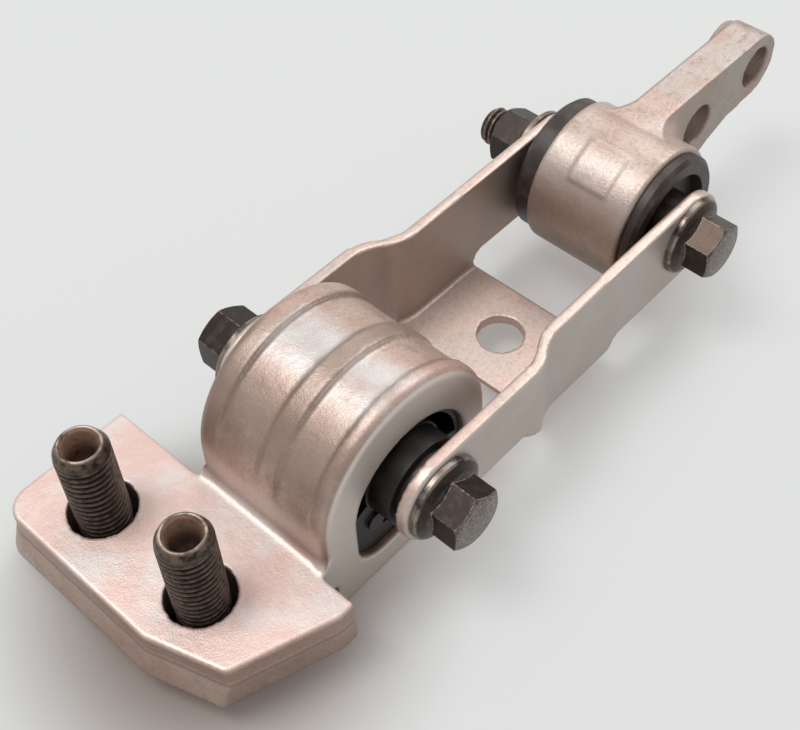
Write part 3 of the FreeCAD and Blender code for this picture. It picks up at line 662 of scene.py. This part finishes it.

# %% [markdown]
# ## Front bracket: worn and machined coats
# The crown of the housing is rubbed pale grey where it is handled, partly worn metal and partly a
# painted highlight, and ahead of that it is browner as painted shade. The end faces and the plate's
# top are cut clean, which leaves bare metal with a warm bloom, and the plate's sides keep their skin,
# darkened as painted shade, with a dark line at the cast ledge. These coats come after the brown
# ones because wear and cutting are what happened last.

# %% Front bracket: worn and machined coats
# ahead is 0 over the pivot and 1 at the front of the arch
arch_radius = 29.3
ahead = (pivot.x - x) / arch_radius
# the crown's pale patch is partly worn metal and partly a painted highlight
worn_and_highlight_grey = (0.63, 0.60, 0.58)
rubbed_and_highlight = ahead.window(-0.35, -0.05, 0.22, 0.50) * up.rise(6.0, 14.0)
rubbed_and_highlight = rubbed_and_highlight * y.window(-38.0, -30.0, -3.0, 4.0) * (1.0 - 0.9 * middle_rib)
rubbed_and_highlight = rubbed_and_highlight * (0.25 + 0.75 * cast_front.noise(11.0, detail=3.0).rise(0.35, 0.6))
cast_front.lay(rubbed_and_highlight, 0.9, worn_and_highlight_grey)

# painted shade: the slope ahead of the crown is darkened brown
front_slope_shade_brown = (0.27, 0.175, 0.13)
browned_shade = ahead.window(0.18, 0.50, 0.86, 0.99) * behind_plate
browned_shade = browned_shade * cast_front.noise(9.0, detail=4.0).rise(0.05, 0.6)
cast_front.lay(browned_shade, 0.68, front_slope_shade_brown)

cut_grey = (0.74, 0.67, 0.615)
end_face = abs(cast_front.facing("Y")).rise(0.75, 0.97) * x.rise(22.3, 22.9)
cast_front.lay(end_face, 0.9, cut_grey)

# painted shade: the plate's sides are darkened just below the top edge
side_shade_brown = (0.19, 0.135, 0.105)
ledge_brown = (0.11, 0.075, 0.055)
ledge_z = -6.6
on_plate = x.fall(20.5, 22.5)
cast_front.lay(z.fall(-1.3, -0.6) * on_plate, 0.34, side_shade_brown)
cast_front.lay(z.line(ledge_z, 0.1, 0.7) * on_plate, 0.6, ledge_brown)

bloom_warm = (0.77, 0.54, 0.475)
bloom_pale = (0.75, 0.64, 0.595)
bloom = cast_front.mix(cast_front.clouds.rise(0.42, 0.62), bloom_warm, bloom_pale)
cast_front.lay(z.rise(-0.5, -0.2) * x.fall(23.0, 24.6), 1.0, bloom)
weathered_and_shaded(cast_front)
give(front_skin, cast_front)

# %% [markdown]
# ## Rear bracket
# The barrel and the arm are one casting, but they have aged apart. The arm is browner and flecked
# where its skin has come off, and its sides are painted darker as shade. The barrel is rubbed pale
# along its crown, partly worn metal and partly a painted highlight, and painted shade darkens its
# front and its underside.
# Two materials would meet in a hard line, so one material fades between them along X.

# %% Rear bracket
cast_rear = cast_skin("cast_rear", base=(0.48, 0.33, 0.265), pale=(0.58, 0.46, 0.40),
                      grime=(0.18, 0.115, 0.08))
pivot = rear_axis / MM
x = cast_rear.axis("X")
up = cast_rear.axis("Z") - pivot.z
arm = x.rise(182.0, 192.0)
barrel = 1.0 - arm

arm_warm = (0.37, 0.255, 0.20)
arm_grey = (0.41, 0.35, 0.31)
fleck_brown = (0.17, 0.12, 0.095)
cast_rear.lay(arm, 0.85, cast_rear.mix(cast_rear.clouds.rise(0.4, 0.6), arm_warm, arm_grey))
flecks = cast_rear.noise(2.4, detail=4.0, rough=0.8, stretch=(0.6, 1.0, 1.0)).rise(0.53, 0.66)
cast_rear.lay(arm * flecks, 0.6, fleck_brown)

# ahead is 0 over the pivot and 1 at the front of the barrel
barrel_radius = 22.0
ahead = (pivot.x - x) / barrel_radius
# the crown's pale patch is partly worn metal and partly a painted highlight; painted shade darkens the
# front
crown_wear_and_highlight = (0.50, 0.47, 0.45)
front_shade_brown = (0.24, 0.165, 0.13)
rubbed_and_highlight = ahead.window(0.25, 0.60, 0.78, 0.92) * up.rise(6.0, 12.0) * barrel
rubbed_and_highlight = rubbed_and_highlight * (0.3 + 0.7 * cast_rear.noise(9.0, detail=3.0).rise(0.35, 0.6))
cast_rear.lay(rubbed_and_highlight, 0.35, crown_wear_and_highlight)
cast_rear.lay(ahead.rise(0.45, 0.88) * up.rise(-2.0, 6.0) * barrel, 0.5, front_shade_brown)

# painted shade: the arm's sides and the barrel's underside are darkened
arm_side_shade = (0.28, 0.23, 0.20)
low_shade_brown = (0.18, 0.13, 0.105)
cast_rear.lay(abs(cast_rear.facing("Y")).rise(0.5, 0.9) * arm, 0.35, arm_side_shade)
cast_rear.lay(up.fall(-14.0, 14.0) * barrel, 0.75, low_shade_brown)
weathered_and_shaded(cast_rear)
give(rear_skin, cast_rear)

# %% [markdown]
# ## Link
# The link is plated sheet, smoother and brighter than a casting. Its cheeks are grey outside and
# darker brown inside. Whether a face looks out or in is the sign of its direction along Y times its
# place along Y, which spares two hand-picked sets of faces.

# %% Link
link_metal = cast_skin("link_steel", base=(0.70, 0.51, 0.435), pale=(0.64, 0.53, 0.475),
                       grime=(0.30, 0.22, 0.18), rough=0.42, metal=0.6)
outwards = link_metal.facing("Y") * (link_metal.axis("Y") - front_axis.y / MM)
outer_grey = (0.50, 0.46, 0.43)
outer_warm = (0.49, 0.42, 0.375)
inner_brown = (0.42, 0.33, 0.28)
outer_tone = link_metal.mix(link_metal.clouds.rise(0.4, 0.6), outer_grey, outer_warm)
link_metal.lay(outwards.rise(5.0, 20.0), 0.85, outer_tone)
link_metal.lay((outwards * -1.0).rise(5.0, 20.0), 0.7, inner_brown)
weathered_and_shaded(link_metal, soft_mm=0.6, grain_mm=0.012)
give(link_skin, link_metal)

# %% [markdown]
# ## Dark steel
# Studs and bolts are phosphated: a thin brown-black crystal skin that holds oil. It is patchy,
# and it rubs off first where the steel is sharp. The worn coat therefore goes where a rounded
# normal turns away from the true one, which finds the edges without any marks on the mesh.

# %% Dark steel
def phosphated(name, base, worn):
    """First coats of phosphated steel: brown-black with lighter patches."""
    patch_gain = 2.2
    f = Finish(name, metal=0.75, rough=0.36)
    f.worn = worn
    f.clouds = f.noise(2.6, detail=4.0, rough=0.65)
    f.colour = base
    f.lay(f.clouds.rise(0.40, 0.70), 0.8, tuple(c * patch_gain for c in base))
    return f


def rubbed_bright(f):
    """Last coats: bright metal on the edges, then roughness and a faint grain."""
    f.lay(f.edges(width_mm=0.35) * f.noise(1.3, detail=3.0).rise(0.32, 0.60), 0.9, f.worn)
    f.set("Base Color", f.colour)
    f.set("Roughness", (f.rough - 0.1 + 0.25 * f.clouds).clip())
    f.relief(f.noise(0.5, detail=3.0) * 0.02, soft_mm=0.3)


def from_axis(across, along, where):
    """Distance in mm from an axis, from the wires of the two coordinates square to it:
        distance = ((across - where 0)^2 + (along - where 1)^2)^0.5"""
    a = across - where[0]
    b = along - where[1]
    return (a * a + b * b) ** 0.5


# %% [markdown]
# ## Stud steel
# The crests of a used stud shine and its thread roots stay dark. The recess is painted a bright
# brown, as painted light on its far wall. The distance from the stud's own axis tells crest from
# root. Two materials would do, but the studs stand equally far left and right of Y = 0, so one
# serves both once the sign of Y is dropped.

# %% Stud steel
stud_steel = phosphated("stud_steel", base=(0.022, 0.0155, 0.012), worn=(0.42, 0.33, 0.28))
x, y, z = stud_steel.axes()
reach = from_axis(x, abs(y), (0.0, middle("stud_left").y / MM))
crest_brown = (0.15, 0.105, 0.082)
crest = reach.rise(6.45, 6.95) * stud_steel.noise(1.5, detail=3.0).rise(0.25, 0.65)
stud_steel.lay(crest, 0.8, crest_brown)
rim_bright = (0.50, 0.40, 0.34)
rim = z.rise(26.4, 26.9) * stud_steel.noise(3.0, detail=3.0).rise(0.25, 0.6)
stud_steel.lay(rim, 0.9, rim_bright)
# painted light: the recess wall is coloured bright brown so that it looks lit
recess_lit_brown = (0.85, 0.60, 0.48)
lit_recess = reach.fall(4.55, 4.8) * z.rise(16.5, 24.0)
stud_steel.lay(lit_recess * stud_steel.noise(2.0, detail=3.0).rise(0.15, 0.5), 0.9, recess_lit_brown)
taper_brown = (0.20, 0.14, 0.105)
taper = reach.rise(5.2, 5.6) * z.rise(24.0, 25.4)
stud_steel.lay(taper * stud_steel.noise(2.2, detail=3.0).rise(0.35, 0.6), 0.7, taper_brown)
rubbed_bright(stud_steel)
for piece in studs:
    give(piece, stud_steel)

# %% [markdown]
# ## Bolt and nut steel
# A wrench and the washer face wear a bolt in rings: the rim of the flange, the crests of the
# thread, the end of the head. All of them are bands of distance from the pivot's axis, so one
# function makes the steel of either pivot. The rear bolt's upward faces are also painted lighter,
# as painted light.

# %% Bolt and nut steel
def bolt_finish(name, base, worn, axis, top=None):
    """Bolt or nut: dark flanks, a rubbed rim and thread, a greyer end, and upward faces painted lighter
    as painted light when top is given.
    """
    rim_bright = (0.40, 0.33, 0.29)
    crest_bright = (0.26, 0.19, 0.155)
    end_grey = (0.30, 0.255, 0.23)
    f = phosphated(name, base, worn)
    if top:
        # painted light: upward faces are made lighter
        f.lay(f.facing("Z").rise(0.35, 0.60) * f.clouds.rise(0.2, 0.5), 0.9, top)
    reach = from_axis(f.axis("X"), f.axis("Z"), (axis.x / MM, axis.z / MM))
    flange_rim = reach.rise(11.0, 11.5) * f.noise(4.0, detail=3.0).rise(0.30, 0.62)
    f.lay(flange_rim, 0.7, rim_bright)
    crest = reach.window(5.3, 5.85, 6.02, 6.1) * f.noise(1.5, detail=3.0).rise(0.2, 0.6)
    f.lay(crest, 0.8, crest_bright)
    end_face = abs(f.facing("Y")).rise(0.80, 0.97) * reach.fall(8.6, 9.4)
    f.lay(end_face * f.noise(0.8, detail=2.0, rough=0.7).rise(0.2, 0.7), 0.85, end_grey)
    rubbed_bright(f)
    return f


bright_worn = (0.60, 0.48, 0.40)
dull_worn = (0.30, 0.22, 0.18)
bolt_steel = bolt_finish("bolt_steel", (0.028, 0.020, 0.016), bright_worn, front_axis)
rear_bolt_steel = bolt_finish("rear_bolt_steel", (0.030, 0.021, 0.016), bright_worn, rear_axis,
                              top=(0.068, 0.045, 0.034))
rear_nut_steel = bolt_finish("rear_nut_steel", (0.024, 0.017, 0.014), dull_worn, rear_axis)
rear_steels = {"head_rear": rear_bolt_steel, "thread_rear": rear_nut_steel}
for piece in bolts:
    give(piece, rear_steels.get(piece.name, bolt_steel))
give(nodes["front_pivot_nut"], bolt_steel)
give(nodes["rear_pivot_nut"], rear_nut_steel)

# %% [markdown]
# ## Sleeves and rubber
# A sleeve is bare drawn tube, a little lighter than the bolt inside it. The rubber is moulded
# black with a grey-brown dust, and the rear bush, which lies open, has more of it. Rubber is
# no metal: its gloss is weak and wide, so a rough plain surface with a soft patch is enough.

# %% Sleeves and rubber
sleeve_steel = phosphated("sleeve_steel", base=(0.07, 0.055, 0.048), worn=(0.4, 0.36, 0.33))
rubbed_bright(sleeve_steel)
rubber_tones = {
    "front": {"clean": (0.005, 0.0037, 0.003), "dusty": (0.015, 0.012, 0.0105)},
    "rear": {"clean": (0.022, 0.0145, 0.0115), "dusty": (0.075, 0.050, 0.039)},
}
for end, tones in rubber_tones.items():
    rubber = Finish("bush_rubber_" + end)
    patch = rubber.noise(5.0, detail=4.0)
    rubber.set("Base Color", rubber.mix(patch.rise(0.4, 0.75), tones["clean"], tones["dusty"]))
    rubber.set("Roughness", (0.30 + 0.3 * patch).clip())
    rubber.relief(rubber.noise(0.8) * 0.03, soft_mm=0.4)
    give(nodes[end + "_bush_sleeve"], sleeve_steel)
    give(nodes[end + "_bush_rubber"], rubber)

# %% [markdown]
# ## Floor
# A plain pale table under the part. White paper lit by lamps alone would need so much light
# that the metal would clip. So the paper glows a little by itself and takes only a soft shadow.
# The glow and the paper's colour are painted darker close to the part, and more under the heavy
# end with the plate, as a painted shadow that is deepest there. The floor lies a hair under the
# part so that no two faces share one plane.

# %% Floor
floor_half = 4.0
floor_gap = 0.1 * MM
floor_z = cad_low.z - floor_gap
corners = [(-floor_half, -floor_half, floor_z), (floor_half, -floor_half, floor_z),
           (floor_half, floor_half, floor_z), (-floor_half, floor_half, floor_z)]
floor_mesh = bpy.data.meshes.new("floor")
floor_mesh.from_pydata(corners, [], [(0, 1, 2, 3)])
floor = bpy.data.objects.new("floor", floor_mesh)
bpy.context.scene.collection.objects.link(floor)

heavy_end = (4.0, -14.0)
paper_grey = (0.27, 0.275, 0.27)
paper_shadow_brown = (0.17, 0.125, 0.105)
open_glow = (0.985, 1.0, 0.99)
near_shadow_glow = (0.70, 0.65, 0.62)
shaded_glow = (0.09, 0.055, 0.04)
glow_level = 0.43
paper = Finish("floor_paper", rough=0.9)
# painted shadow: the paper's colour and glow darken around the heavy end and close to the part
shade = from_axis(paper.axis("X"), paper.axis("Y"), heavy_end).fall(14.0, 68.0) * 0.86
near = paper.hollow(30.0).rise(0.05, 0.60)
paper.set("Base Color", paper.mix(shade, paper_grey, paper_shadow_brown))
glow = paper.mix(near, open_glow, near_shadow_glow)
paper.set("Emission Color", paper.mix(shade, glow, shaded_glow))
paper.set("Emission Strength", glow_level)
give(floor, paper)
print("floor at z mm", round(floor_z / MM, 2))

# %% [markdown]
# ## Light
# Metal shows what surrounds it, so small lamps would leave hard white dots on it. An even white
# sky gives the plain level, a large soft key lamp hangs high on the left, and a weaker one
# beyond the arm lights it from behind. Both are aimed at the point that the camera looks at.

# %% Light
sky_level = 0.56
world = bpy.data.worlds.new("studio")
bpy.context.scene.world = world
world.use_nodes = True
sky = world.node_tree.nodes["Background"]
sky.inputs["Color"].default_value = (1.0, 1.0, 1.0, 1.0)
sky.inputs["Strength"].default_value = sky_level


def soft_lamp(name, place, size, power):
    """A square lamp at place, in metres, aimed at the part. size in metres, power in watts."""
    data = bpy.data.lights.new(name, "AREA")
    data.size = size
    data.energy = power
    lamp = bpy.data.objects.new(name, data)
    bpy.context.scene.collection.objects.link(lamp)
    lamp.location = place
    lamp.rotation_mode = "QUATERNION"
    lamp.rotation_quaternion = (look_at - lamp.location).to_track_quat("-Z", "Y")
    print(name, "lamp at mm", in_mm(lamp.location), "watts", power)


soft_lamp("key", Vector((-0.40, 0.45, 1.55)), size=0.66, power=13.6)
soft_lamp("back", Vector((0.95, 0.10, 0.95)), size=0.8, power=6.0)
bpy.context.scene.view_settings.view_transform = "Standard"

# %% [markdown] The dressed part has to be as large as the frame.
